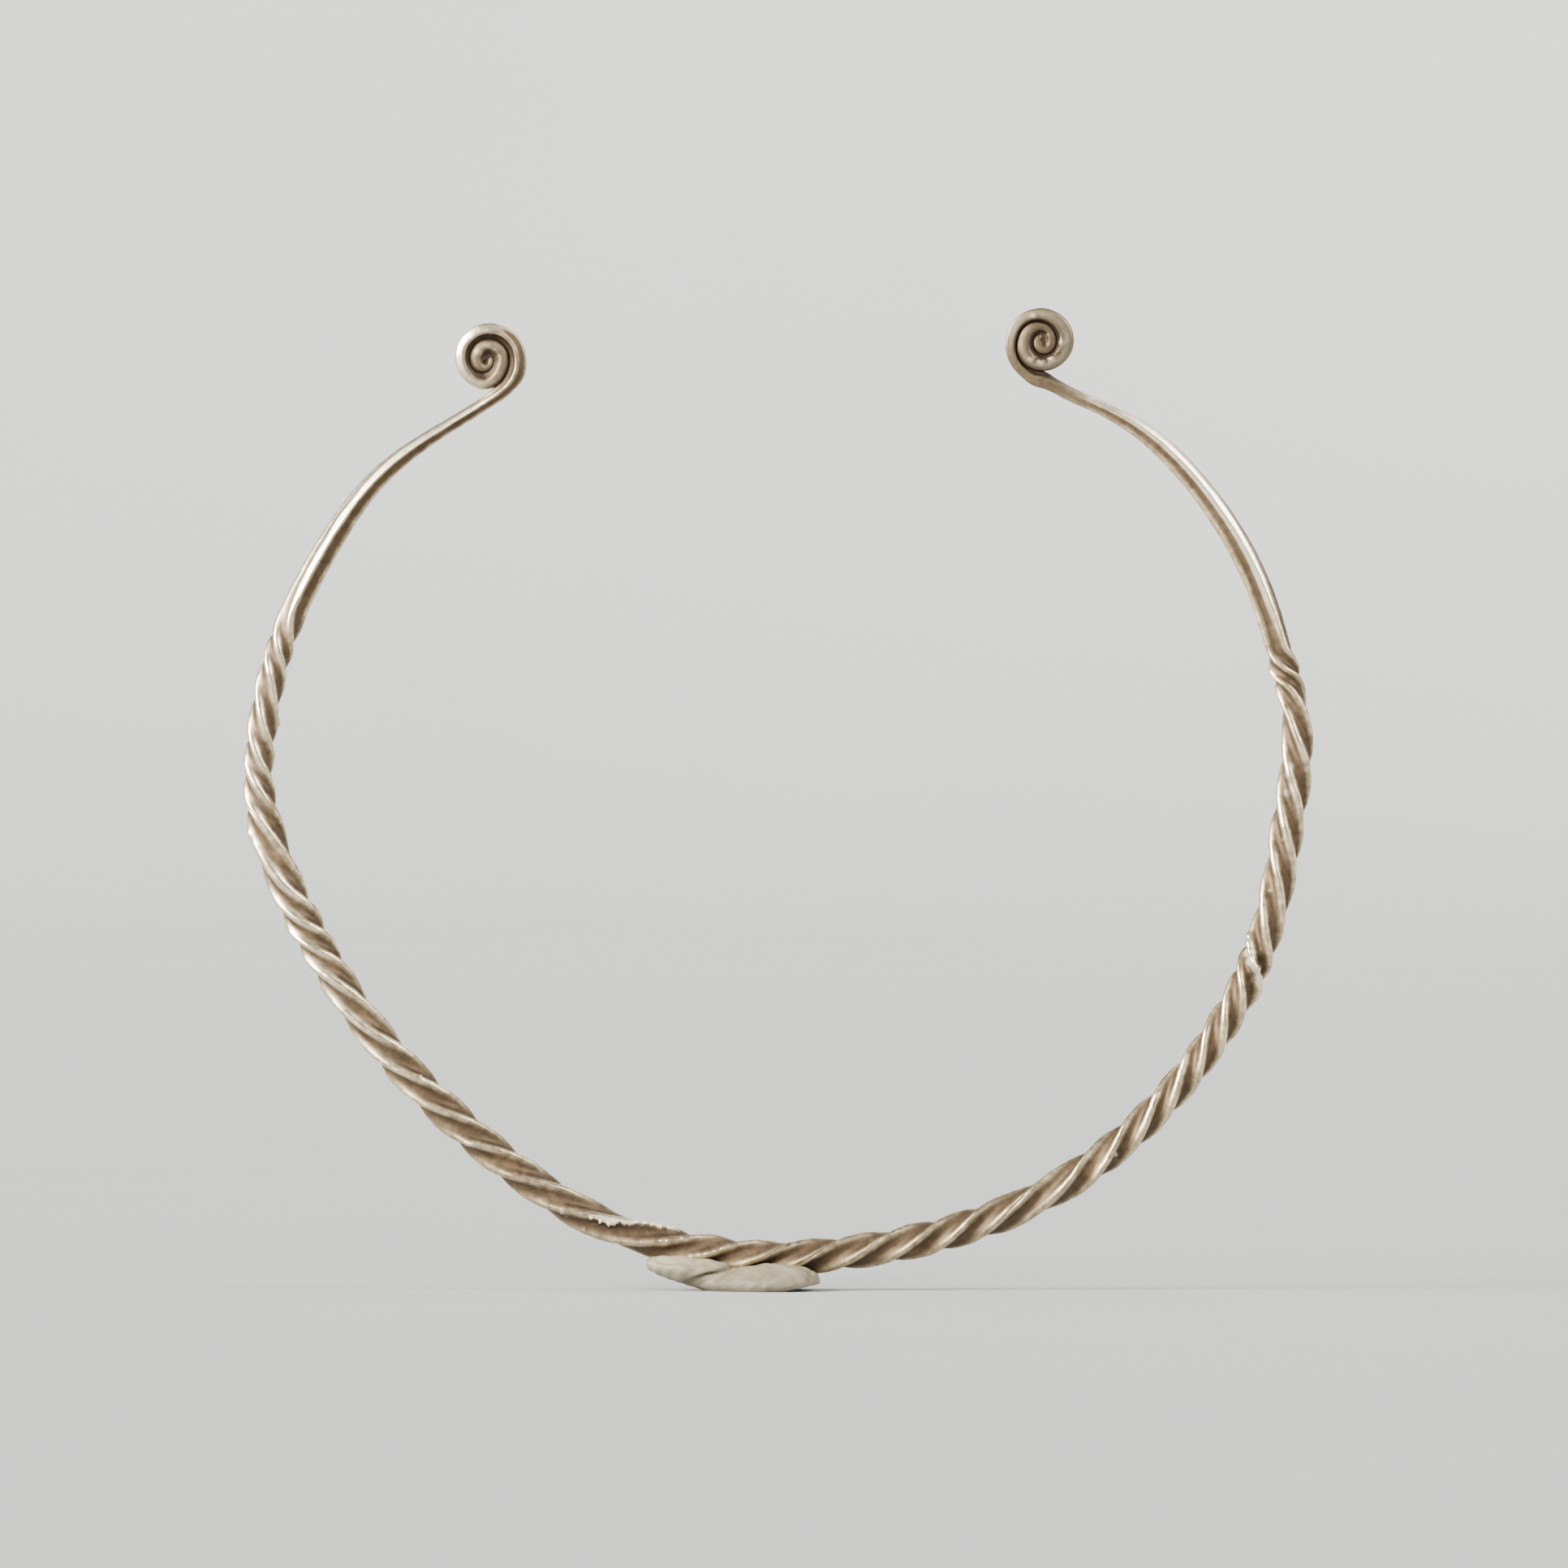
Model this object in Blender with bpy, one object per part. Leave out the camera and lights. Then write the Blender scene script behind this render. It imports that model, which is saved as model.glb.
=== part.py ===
"""Silver torc standing on its putty rest, in metres, +Z up.

The torc is one forged silver bar. It has four narrow ridges with wide flutes between them,
it is twisted to the left, bent into an open neck ring and coiled flat at both ends. The ring
stands in the XZ plane with its mouth at the top, and its front faces -Y. A kneaded lump of
putty under it cradles the lowest part of the bar and carries the torc on a flat underside.

The origin is on the surface that the putty stands on, under the middle of the ring's width.
"""
import math

import bmesh
import bpy
import numpy as np
from mathutils import Vector

MM = 0.001

# --- the way the bar runs, all in millimetres ---

# Middle of the bar as (x, z), from the foot of the left coil round to that of the right coil.
BAR_ROUTE = (
    (-38.47, 126.79), (-40.9, 125.1), (-44.2, 123.05), (-55.4, 115.25), (-63.7, 104.2),
    (-69.6, 92.0),
    (-72.7, 78.7), (-73.1, 71.5), (-71.9, 64.4), (-66.9, 52.2), (-55.9, 35.0),
    (-41.4, 20.5), (-30.3, 12.4), (-24.2, 9.2), (-17.6, 7.1), (-4.1, 4.8),
    (9.5, 5.3), (23.0, 7.9), (35.9, 12.7), (47.4, 20.1), (57.1, 29.8),
    (64.7, 41.1), (69.6, 53.9), (72.0, 67.3), (72.9, 80.8), (71.2, 87.8),
    (66.85, 100.85), (59.7, 112.5), (49.87, 121.9), (43.8, 125.0), (41.15, 126.14),
)

# Each coil's eye as (x, z). Its turns are (angle, radius, half width of the wire), outside in.
# The left coil's angles run counter-clockwise from +X, the right coil's clockwise from -X.
# The ridges lie askew to the plane of a coil, so the wire reaches only a share of its ridge
# radius there, and its turns all but touch: TURN_GAP is taken off the width between them.
LEFT_EYE = (-40.8, 131.15)
LEFT_TURNS = (
    (-45, 4.66, 1.06), (-25, 4.42, 1.22), (0, 4.23, 1.20), (45, 4.10, 1.12),
    (90, 4.00, 1.05), (135, 3.87, 1.02), (180, 3.74, 0.97), (225, 3.62, 0.92),
    (255, 3.52, 0.92), (275, 3.22, 0.98), (300, 2.62, 1.08), (330, 2.15, 1.07),
    (360, 1.94, 1.02), (405, 1.87, 1.02), (450, 1.85, 1.04), (495, 1.72, 1.04),
    (540, 1.62, 1.06), (575, 1.62, 1.00), (605, 1.40, 0.80), (630, 1.02, 0.66),
    (650, 0.80, 0.54), (686, 0.38, 0.50), (720, 0.28, 0.46), (770, 0.42, 0.36),
)
RIGHT_EYE = (37.4, 133.5)
RIGHT_TURNS = (
    (-90, 5.53, 1.03), (-75, 5.35, 0.92), (-60, 5.14, 0.76), (-45, 5.05, 0.70),
    (-30, 4.92, 0.75), (0, 4.61, 0.82), (45, 4.29, 0.84), (90, 3.77, 1.01),
    (135, 3.29, 1.14), (180, 3.04, 1.17), (225, 2.95, 1.08), (270, 3.04, 1.04),
    (300, 3.13, 1.12), (330, 3.00, 1.12), (360, 2.69, 1.04), (405, 2.49, 0.90),
    (450, 2.05, 0.64), (475, 1.72, 0.62), (495, 1.32, 0.72), (540, 1.08, 0.72),
    (630, 1.08, 0.74), (675, 1.02, 0.70), (720, 0.95, 0.60), (765, 0.93, 0.46),
    (795, 0.93, 0.32),
)
LEFT_COIL_REACH = 0.97
RIGHT_COIL_REACH = 0.87
TURN_GAP = 0.10
COIL_GUIDE_STEP = 15.0

# --- the section of the bar, at distances along BAR_ROUTE ---

# (distance, radius over the ridges)
BAR_RADIUS = (
    (0, 0.96), (7, 0.97), (21, 1.40), (41, 1.90), (55, 2.12), (68, 2.24), (76, 2.62),
    (92, 2.60), (147, 2.55), (177, 2.50), (212, 2.53), (240, 2.38), (272, 2.47),
    (288, 2.45), (296, 2.15), (309, 2.10), (329, 1.84), (337, 1.64), (345, 1.32),
    (349, 1.12), (353, 1.09),
)
# (distance, depth of the flutes as a share of their full depth)
FLUTE_RELIEF = (
    (-14, 0.20), (-8, 0.40), (0, 0.45), (14, 0.45), (32, 0.85), (46, 1.00), (306, 1.00),
    (330, 0.85), (345, 0.50), (378, 0.40), (386, 0.20),
)
# (distance, depth of the section from front to back as a share of its width)
SECTION_DEPTH = ((-6, 0.82), (2, 1.00), (351, 1.00), (359, 0.82))
# (distance, turns of the left-hand twist made so far, from a ridge that faces the front)
TWIST_TURNS = (
    (43.0, -0.04), (45.2, 0.00), (54.2, 0.50), (60.4, 0.75), (75.3, 1.50), (84.1, 1.75),
    (99.7, 2.50), (108.0, 2.75), (123.4, 3.25), (147.1, 4.00), (158.7, 4.25),
    (173.0, 4.75), (195.3, 5.50), (208.5, 6.00), (218.5, 6.25), (225.9, 6.50),
    (255.0, 7.75), (263.7, 8.25), (271.1, 8.50), (291.6, 9.25), (298.7, 9.50),
    (301.7, 9.75), (304.8, 9.91),
)
RIDGES = 4
RIDGE_HALF_ANGLE = 9.0
FLUTE_EDGE_ANGLE = 31.0
FLUTE_DEPTH = 0.37

# A ring of the loft is set after so much twist, bend or length.
TWIST_STEP = 27.0
BEND_STEP = 18.0
LENGTH_STEP = 15.0
COURSE_SAMPLES = 6000
# (distance from the bar's tip, share of its radius)
TIP_ROUNDING = ((0.0, 0.45), (0.12, 0.75), (0.35, 0.95))
TORC_SHARP_ANGLE = 50.0

# --- the putty rest ---

# (x, z of the middle, half length, half depth, half height, lean in degrees) of each lobe
PUTTY_LOBES = (
    (-3.3, 1.0, 9.2, 9.5, 2.85, 0.0),
    (-12.9, 2.75, 5.7, 4.7, 1.6, 6.0),
)
PUTTY_SIDES = 28
PUTTY_RINGS = 14
PUTTY_SHARP_ANGLE = 40.0
GROUND_BLOCK = (60.0, 40.0, 10.0)
TROUGH_RADIUS = 2.95
TROUGH_REACH = (132.0, 196.0)
TROUGH_POINTS = 18
TROUGH_ROUNDNESS = 4
WELD_DISTANCE = 0.01

SILVER = {"color": (0.70, 0.63, 0.52), "metallic": 0.9, "roughness": 0.4}
PUTTY = {"color": (0.80, 0.77, 0.68), "metallic": 0.0, "roughness": 0.75}


def remove_everything():
    for item in list(bpy.data.objects):
        bpy.data.objects.remove(item, do_unlink=True)


def new_collection(name):
    collection = bpy.data.collections.new(name)
    bpy.context.scene.collection.children.link(collection)
    return collection


def new_material(name, look):
    material = bpy.data.materials.new(name)
    material.use_nodes = True
    shader = material.node_tree.nodes["Principled BSDF"]
    shader.inputs["Base Color"].default_value = (*look["color"], 1.0)
    shader.inputs["Metallic"].default_value = look["metallic"]
    shader.inputs["Roughness"].default_value = look["roughness"]
    return material


def put_in(collection, item):
    for owner in list(item.users_collection):
        owner.objects.unlink(item)
    collection.objects.link(item)


def curve_through(points, count):
    """Even points on the natural cubic curve through the given points."""
    knots = np.array(points, dtype=float)
    spans = np.linalg.norm(np.diff(knots, axis=0), axis=1)
    places = np.concatenate([[0.0], np.cumsum(spans)])
    system = np.eye(len(knots))
    right_side = np.zeros_like(knots)
    for i in range(1, len(knots) - 1):
        before = spans[i - 1]
        after = spans[i]
        system[i, i - 1:i + 2] = (before, 2.0 * (before + after), after)
        rise = (knots[i + 1] - knots[i]) / after
        fall = (knots[i] - knots[i - 1]) / before
        right_side[i] = 6.0 * (rise - fall)
    bends = np.linalg.solve(system, right_side)
    at = np.linspace(0.0, places[-1], count)
    piece = np.clip(np.searchsorted(places, at) - 1, 0, len(spans) - 1)
    span = spans[piece][:, None]
    far = (places[piece + 1] - at)[:, None]
    near = (at - places[piece])[:, None]
    start = knots[piece] / span - bends[piece] * span / 6.0
    end = knots[piece + 1] / span - bends[piece + 1] * span / 6.0
    cubic = (bends[piece] * far ** 3 + bends[piece + 1] * near ** 3) / (6.0 * span)
    return cubic + start * far + end * near


def eased(marks, at, column=1):
    """Value between marks, with no overshoot: a monotone cubic through them."""
    table = np.array(marks, dtype=float)
    places = table[:, 0]
    values = table[:, column]
    spans = np.diff(places)
    slopes = np.diff(values) / spans
    tangents = np.zeros_like(values)
    for i in range(1, len(values) - 1):
        if slopes[i - 1] * slopes[i] > 0.0:
            first = 2.0 * spans[i] + spans[i - 1]
            second = spans[i] + 2.0 * spans[i - 1]
            tangents[i] = (first + second) / (first / slopes[i - 1] + second / slopes[i])
    at = np.clip(at, places[0], places[-1])
    piece = np.clip(np.searchsorted(places, at) - 1, 0, len(spans) - 1)
    span = spans[piece]
    t = (at - places[piece]) / span
    rise = (3.0 - 2.0 * t) * t * t
    leave = t * (1.0 - t) ** 2 * span * tangents[piece]
    arrive = t * t * (1.0 - t) * span * tangents[piece + 1]
    return values[piece] * (1.0 - rise) + values[piece + 1] * rise + leave - arrive


def distance_along(points):
    return np.concatenate([[0.0], np.cumsum(np.linalg.norm(np.diff(points, axis=0), axis=1))])


def coil_guide(eye, turns, reach, first_angle, sense):
    """Points of one coil from its foot to its tip, with the wire's ridge radius at each."""
    start = turns[0][0]
    end = turns[-1][0]
    angles = np.linspace(start, end, int((end - start) / COIL_GUIDE_STEP) + 1)
    radii = eased(turns, angles)
    around = np.radians(first_angle + sense * angles)
    x = eye[0] + radii * np.cos(around)
    z = eye[1] + radii * np.sin(around)
    ridge_radius = (eased(turns, angles, column=2) - 0.5 * TURN_GAP) / reach
    return np.stack([x, z], axis=1), ridge_radius


def bar_course():
    """The whole bar, tip to tip: points, distance from the left coil's foot, and radius."""
    left, left_radius = coil_guide(LEFT_EYE, LEFT_TURNS, LEFT_COIL_REACH, 0.0, 1.0)
    right, right_radius = coil_guide(RIGHT_EYE, RIGHT_TURNS, RIGHT_COIL_REACH, 180.0, -1.0)
    guide = np.concatenate([left[::-1], np.array(BAR_ROUTE), right])
    fine = curve_through(guide, COURSE_SAMPLES)
    along = distance_along(fine)
    foot = np.argmin(np.linalg.norm(fine - np.array(BAR_ROUTE[0]), axis=1))
    along -= along[foot]
    left_marks = distance_along(left) + np.linalg.norm(left[0] - np.array(BAR_ROUTE[0]))
    right_start = BAR_RADIUS[-1][0]
    right_marks = distance_along(right) + np.linalg.norm(right[0] - np.array(BAR_ROUTE[-1]))
    radius_marks = list(zip(-left_marks[::-1], left_radius[::-1]))
    radius_marks += list(BAR_RADIUS)
    radius_marks += list(zip(right_start + right_marks, right_radius))
    return fine, along, eased(radius_marks, along)


def bar_stations():
    """Rings of the loft: middle, direction, radius, relief, depth and turn of the section."""
    fine, along, radius = bar_course()
    direction = np.gradient(fine, along, axis=0)
    direction /= np.linalg.norm(direction, axis=1)[:, None]
    heading = np.degrees(np.unwrap(np.arctan2(direction[:, 1], direction[:, 0])))
    roll = 360.0 * eased(TWIST_TURNS, along)
    relief = eased(FLUTE_RELIEF, along)
    depth = eased(SECTION_DEPTH, along)
    work = np.abs(np.diff(roll)) / TWIST_STEP
    work += np.abs(np.diff(heading)) / BEND_STEP
    work += np.diff(along) / LENGTH_STEP
    work = np.concatenate([[0.0], np.cumsum(work)])
    places = list(np.interp(np.linspace(0.0, work[-1], int(work[-1]) + 1), work, along))
    rounded = [(along[0] + gap, share) for gap, share in TIP_ROUNDING]
    rounded += [(along[-1] - gap, share) for gap, share in reversed(TIP_ROUNDING)]
    body = [p for p in places if rounded[2][0] < p < rounded[3][0]]
    places = [p for p, _ in rounded[:3]] + body + [p for p, _ in rounded[3:]]
    shrink = [s for _, s in rounded[:3]] + [1.0] * len(body) + [s for _, s in rounded[3:]]
    for place, share in zip(places, shrink):
        yield (
            Vector((np.interp(place, along, fine[:, 0]), 0.0, np.interp(place, along, fine[:, 1]))),
            Vector((np.interp(place, along, direction[:, 0]), 0.0,
                    np.interp(place, along, direction[:, 1]))).normalized(),
            float(np.interp(place, along, radius)) * share,
            float(np.interp(place, along, relief)),
            float(np.interp(place, along, depth)),
            float(np.interp(place, along, roll)),
        )


def section_corners():
    """One turn of the section: the angle of each corner and whether it is on a ridge."""
    quarter = 360.0 / RIDGES
    for ridge in range(RIDGES):
        middle = ridge * quarter
        yield middle - RIDGE_HALF_ANGLE, True
        yield middle + RIDGE_HALF_ANGLE, True
        yield middle + FLUTE_EDGE_ANGLE, False
        yield middle + quarter - FLUTE_EDGE_ANGLE, False


def lay_ring(ring, station):
    """Set a ring of corners round the bar; a turn of 0 puts a ridge at the front."""
    middle, direction, radius, relief, depth, roll = station
    front = Vector((0.0, -depth, 0.0))
    inward = Vector((-direction.z, 0.0, direction.x))
    for corner, (angle, on_ridge) in zip(ring, section_corners()):
        reach = radius if on_ridge else radius * (1.0 - FLUTE_DEPTH * relief)
        turn = math.radians(roll - angle)
        place = middle + reach * (math.cos(turn) * front + math.sin(turn) * inward)
        corner.co = place * MM


def next_ring(mesh, ring):
    """Extrude a ring of corners and return the new one in the same order."""
    edges = [mesh.edges.get((ring[i - 1], ring[i])) for i in range(len(ring))]
    made = bmesh.ops.extrude_edge_only(mesh, edges=edges)["geom"]
    fresh = {item for item in made if isinstance(item, bmesh.types.BMVert)}
    return [next(e.other_vert(v) for e in v.link_edges if e.other_vert(v) in fresh) for v in ring]


def make_torc(collection):
    """The one bar of the torc, lofted tip to tip."""
    stations = list(bar_stations())
    mesh = bmesh.new()
    corners = len(list(section_corners()))
    ring = bmesh.ops.create_circle(mesh, segments=corners, radius=MM)["verts"]
    first = ring
    lay_ring(ring, stations[0])
    for station in stations[1:]:
        ring = next_ring(mesh, ring)
        lay_ring(ring, station)
    for end in (first, ring):
        rim = [mesh.edges.get((end[i - 1], end[i])) for i in range(len(end))]
        bmesh.ops.contextual_create(mesh, geom=rim)
    bmesh.ops.triangulate(mesh, faces=mesh.faces[:])
    bmesh.ops.recalc_face_normals(mesh, faces=mesh.faces[:])
    data = bpy.data.meshes.new("silver_torc")
    mesh.to_mesh(data)
    mesh.free()
    torc = bpy.data.objects.new("silver_torc", data)
    collection.objects.link(torc)
    data.materials.append(new_material("silver", SILVER))
    data.shade_smooth()
    data.set_sharp_from_angle(angle=math.radians(TORC_SHARP_ANGLE))
    return torc


def make_lobe(collection, name, lobe):
    """One kneaded lobe of the putty: a flattened ball, leaning a little."""
    x, z, half_length, half_depth, half_height, lean = lobe
    bpy.ops.mesh.primitive_uv_sphere_add(segments=PUTTY_SIDES, ring_count=PUTTY_RINGS, radius=1.0)
    ball = bpy.context.object
    ball.name = name
    ball.scale = (half_length * MM, half_depth * MM, half_height * MM)
    ball.rotation_euler = (0.0, math.radians(lean), 0.0)
    ball.location = (x * MM, 0.0, z * MM)
    put_in(collection, ball)
    return ball


def as_cutter(item):
    item.hide_render = True
    item.display_type = "WIRE"
    return item


def boolean(target, other, operation):
    cut = target.modifiers.new(operation.lower(), "BOOLEAN")
    cut.operation = operation
    cut.object = other
    cut.solver = "EXACT"


def make_trough_cutter(collection):
    """A smooth rod along the bar, a little thicker than it, that presses out the trough."""
    fine, along, _ = bar_course()
    curve = bpy.data.curves.new("trough_rod", "CURVE")
    curve.dimensions = "3D"
    curve.bevel_depth = TROUGH_RADIUS * MM
    curve.bevel_resolution = TROUGH_ROUNDNESS
    curve.use_fill_caps = True
    spline = curve.splines.new("POLY")
    spline.points.add(TROUGH_POINTS - 1)
    for point, place in zip(spline.points, np.linspace(*TROUGH_REACH, TROUGH_POINTS)):
        x = np.interp(place, along, fine[:, 0])
        z = np.interp(place, along, fine[:, 1])
        point.co = (x * MM, 0.0, z * MM, 1.0)
    rod = bpy.data.objects.new("trough_rod", curve)
    collection.objects.link(rod)
    bpy.context.view_layer.update()
    solid = bpy.data.meshes.new_from_object(rod.evaluated_get(bpy.context.evaluated_depsgraph_get()))
    mesh = bmesh.new()
    mesh.from_mesh(solid)
    bmesh.ops.remove_doubles(mesh, verts=mesh.verts, dist=WELD_DISTANCE * MM)
    bmesh.ops.recalc_face_normals(mesh, faces=mesh.faces[:])
    mesh.to_mesh(solid)
    mesh.free()
    cutter = bpy.data.objects.new("trough_cutter", solid)
    cutter.matrix_world = rod.matrix_world
    collection.objects.link(cutter)
    bpy.data.objects.remove(rod, do_unlink=True)
    return as_cutter(cutter)


def make_ground_cutter(collection):
    """A block below z = 0 that gives the putty its flat underside."""
    bpy.ops.mesh.primitive_cube_add(size=1.0)
    block = bpy.context.object
    block.name = "ground_cutter"
    block.scale = [size * MM for size in GROUND_BLOCK]
    block.location = (0.0, 0.0, -0.5 * GROUND_BLOCK[2] * MM)
    put_in(collection, block)
    return as_cutter(block)


def make_putty(collection, cutters):
    """The putty rest: two lobes in one lump, flat below, with the bar's trough in its top."""
    front_lobe = make_lobe(collection, "putty_rest", PUTTY_LOBES[0])
    front_lobe.data.materials.append(new_material("putty", PUTTY))
    side_lobe = as_cutter(make_lobe(cutters, "side_lobe", PUTTY_LOBES[1]))
    boolean(front_lobe, side_lobe, "UNION")
    boolean(front_lobe, make_ground_cutter(cutters), "DIFFERENCE")
    boolean(front_lobe, make_trough_cutter(cutters), "DIFFERENCE")
    front_lobe.data.shade_smooth()
    front_lobe.data.set_sharp_from_angle(angle=math.radians(PUTTY_SHARP_ANGLE))
    return front_lobe


def main():
    remove_everything()
    parts = new_collection("silver_torc_on_putty")
    cutters = new_collection("cutters")
    make_torc(parts)
    make_putty(parts, cutters)


main()
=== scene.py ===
import math

import bmesh
import bpy
import numpy as np
from mathutils import Matrix, Vector


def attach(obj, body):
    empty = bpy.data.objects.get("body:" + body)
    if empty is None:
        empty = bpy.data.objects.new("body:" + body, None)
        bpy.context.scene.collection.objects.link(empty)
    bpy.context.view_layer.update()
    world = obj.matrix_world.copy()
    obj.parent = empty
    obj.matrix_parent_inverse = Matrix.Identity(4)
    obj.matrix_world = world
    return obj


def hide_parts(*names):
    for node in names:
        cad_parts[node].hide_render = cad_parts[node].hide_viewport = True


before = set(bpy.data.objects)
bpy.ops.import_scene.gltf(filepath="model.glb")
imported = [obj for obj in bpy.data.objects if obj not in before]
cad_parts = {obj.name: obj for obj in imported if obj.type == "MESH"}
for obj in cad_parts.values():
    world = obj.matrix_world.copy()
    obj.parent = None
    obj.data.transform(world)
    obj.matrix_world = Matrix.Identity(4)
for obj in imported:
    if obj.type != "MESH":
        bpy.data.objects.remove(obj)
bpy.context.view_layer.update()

MM = 0.001

# --- the way the bar runs, in millimetres, as in the solids ---

# Middle of the bar as (x, z), from the foot of the left coil round to that of the right coil.
# Distances along the bar start at the left foot, so they are negative in the left coil.
BAR_ROUTE = (
    (-38.47, 126.79), (-40.9, 125.1), (-44.2, 123.05), (-55.4, 115.25), (-63.7, 104.2),
    (-69.6, 92.0),
    (-72.7, 78.7), (-73.1, 71.5), (-71.9, 64.4), (-66.9, 52.2), (-55.9, 35.0),
    (-41.4, 20.5), (-30.3, 12.4), (-24.2, 9.2), (-17.6, 7.1), (-4.1, 4.8),
    (9.5, 5.3), (23.0, 7.9), (35.9, 12.7), (47.4, 20.1), (57.1, 29.8),
    (64.7, 41.1), (69.6, 53.9), (72.0, 67.3), (72.9, 80.8), (71.2, 87.8),
    (66.85, 100.85), (59.7, 112.5), (49.87, 121.9), (43.8, 125.0), (41.15, 126.14),
)
BAR_LENGTH = 353.0
# Each coil's eye as (x, z), and its turns as (angle, radius, half width of the wire), outside in.
LEFT_EYE = (-40.8, 131.15)
LEFT_TURNS = (
    (-45, 4.66, 1.06), (-25, 4.42, 1.22), (0, 4.23, 1.20), (45, 4.10, 1.12),
    (90, 4.00, 1.05), (135, 3.87, 1.02), (180, 3.74, 0.97), (225, 3.62, 0.92),
    (255, 3.52, 0.92), (275, 3.22, 0.98), (300, 2.62, 1.08), (330, 2.15, 1.07),
    (360, 1.94, 1.02), (405, 1.87, 1.02), (450, 1.85, 1.04), (495, 1.72, 1.04),
    (540, 1.62, 1.06), (575, 1.62, 1.00), (605, 1.40, 0.80), (630, 1.02, 0.66),
    (650, 0.80, 0.54), (686, 0.38, 0.50), (720, 0.28, 0.46), (770, 0.42, 0.36),
)
RIGHT_EYE = (37.4, 133.5)
RIGHT_TURNS = (
    (-90, 5.53, 1.03), (-75, 5.35, 0.92), (-60, 5.14, 0.76), (-45, 5.05, 0.70),
    (-30, 4.92, 0.75), (0, 4.61, 0.82), (45, 4.29, 0.84), (90, 3.77, 1.01),
    (135, 3.29, 1.14), (180, 3.04, 1.17), (225, 2.95, 1.08), (270, 3.04, 1.04),
    (300, 3.13, 1.12), (330, 3.00, 1.12), (360, 2.69, 1.04), (405, 2.49, 0.90),
    (450, 2.05, 0.64), (475, 1.72, 0.62), (495, 1.32, 0.72), (540, 1.08, 0.72),
    (630, 1.08, 0.74), (675, 1.02, 0.70), (720, 0.95, 0.60), (765, 0.93, 0.46),
    (795, 0.93, 0.32),
)
# Share of its ridge radius that the wire reaches in the plane of a coil.
LEFT_COIL_REACH = 0.97
RIGHT_COIL_REACH = 0.87
COIL_GUIDE_STEP = 15.0
# The wire of the coils is this much thinner than in the solids, so that its skin stays inside them.
SKIN_ALLOWANCE = 0.05
COURSE_SAMPLES = 6000
BEND_WINDOW = 9

# --- the section of the bar, as (distance along the bar, value) ---

# Radius over the ridges.
BAR_RADIUS = (
    (0, 0.96), (7, 0.97), (21, 1.40), (41, 1.90), (55, 2.12), (68, 2.24), (76, 2.62),
    (92, 2.60), (147, 2.55), (177, 2.50), (212, 2.53), (240, 2.38), (272, 2.47),
    (288, 2.45), (296, 2.15), (309, 2.10), (329, 1.84), (337, 1.64), (345, 1.32),
    (349, 1.12), (353, 1.09),
)
# Depth of the flutes as a share of their full depth.
FLUTE_RELIEF = (
    (-24, 0.15), (-15, 0.30), (-9, 0.60), (0, 0.60), (14, 0.50), (32, 0.70), (46, 0.80),
    (75, 0.82), (100, 1.00), (306, 1.00), (330, 0.62), (345, 0.45), (378, 0.42), (386, 0.20),
)
# Depth of the section from front to back as a share of its width.
SECTION_DEPTH = ((-6, 0.82), (2, 1.00), (351, 1.00), (359, 0.82))
# Turns of the left-hand twist made so far, from a ridge that faces the front.
TWIST_TURNS = (
    (43.0, -0.04), (45.2, 0.00), (54.2, 0.50), (60.4, 0.75), (75.3, 1.50), (84.1, 1.75),
    (99.7, 2.50), (108.0, 2.75), (123.4, 3.25), (147.1, 4.00), (158.7, 4.25),
    (173.0, 4.75), (195.3, 5.50), (208.5, 6.00), (218.5, 6.25), (225.9, 6.50),
    (255.0, 7.75), (263.7, 8.25), (271.1, 8.50), (291.6, 9.25), (298.7, 9.50),
    (301.7, 9.75), (304.8, 9.91),
)
RIDGES = 4
QUARTER = 360.0 / RIDGES
RIDGE_SPREAD = 23.0
RIDGE_BLUNTNESS = 2.6
# Reach of the floor of a full flute as a share of the radius, and how far the skin is sunk there.
FLUTE_FLOOR = 0.62
CREST_SINK = 0.012
# Unevenness of each ridge as (size, spacing in mm, first seed): degrees aside, share of the
# radius in height, and share of the spread.
RIDGE_DRIFT = ((3.2, 6.0, 40), (1.3, 1.7, 50))
RIDGE_RISE = ((0.022, 3.1, 60), (0.016, 0.9, 70))
RIDGE_SWELL = ((0.16, 4.3, 80),)
# Unevenness of the flutes as (share of the radius, spacing in mm, cells round, seed).
FLUTE_SWELL = (0.012, 2.2, 9, 5)
FLUTE_GRAIN = (0.007, 0.8, 24, 6)
# Middle and half width in degrees of the flat outer facet of the left arm and of the right arm.
ARM_FACETS = ((-40.0, 37.0), (-34.0, 24.0))
# The tips are rounded over this length.
TIP_LENGTH = 0.35
# The skin inside a tight bend stops at this share of the way to the middle of the bend.
FOLD_LIMIT = 0.75

# Mesh of the bar: ring spacing in mm at distances along it, and sides round it.
RING_SPACING = (
    (-60, 0.20), (-30, 0.24), (-6, 0.26), (4, 0.50), (38, 0.50), (43, 0.29), (145, 0.29),
    (147, 0.17), (170, 0.17), (172, 0.29), (252, 0.29), (254, 0.20), (261, 0.20), (263, 0.29),
    (305, 0.29), (312, 0.50), (347, 0.50), (358, 0.26), (420, 0.20),
)
TIP_RINGS = (0.0, 0.02, 0.07, 0.15)
WELD_DISTANCE = 1e-7
SIDES_PER_RIDGE = 15
SIDE_CROWDING = 0.5

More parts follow.
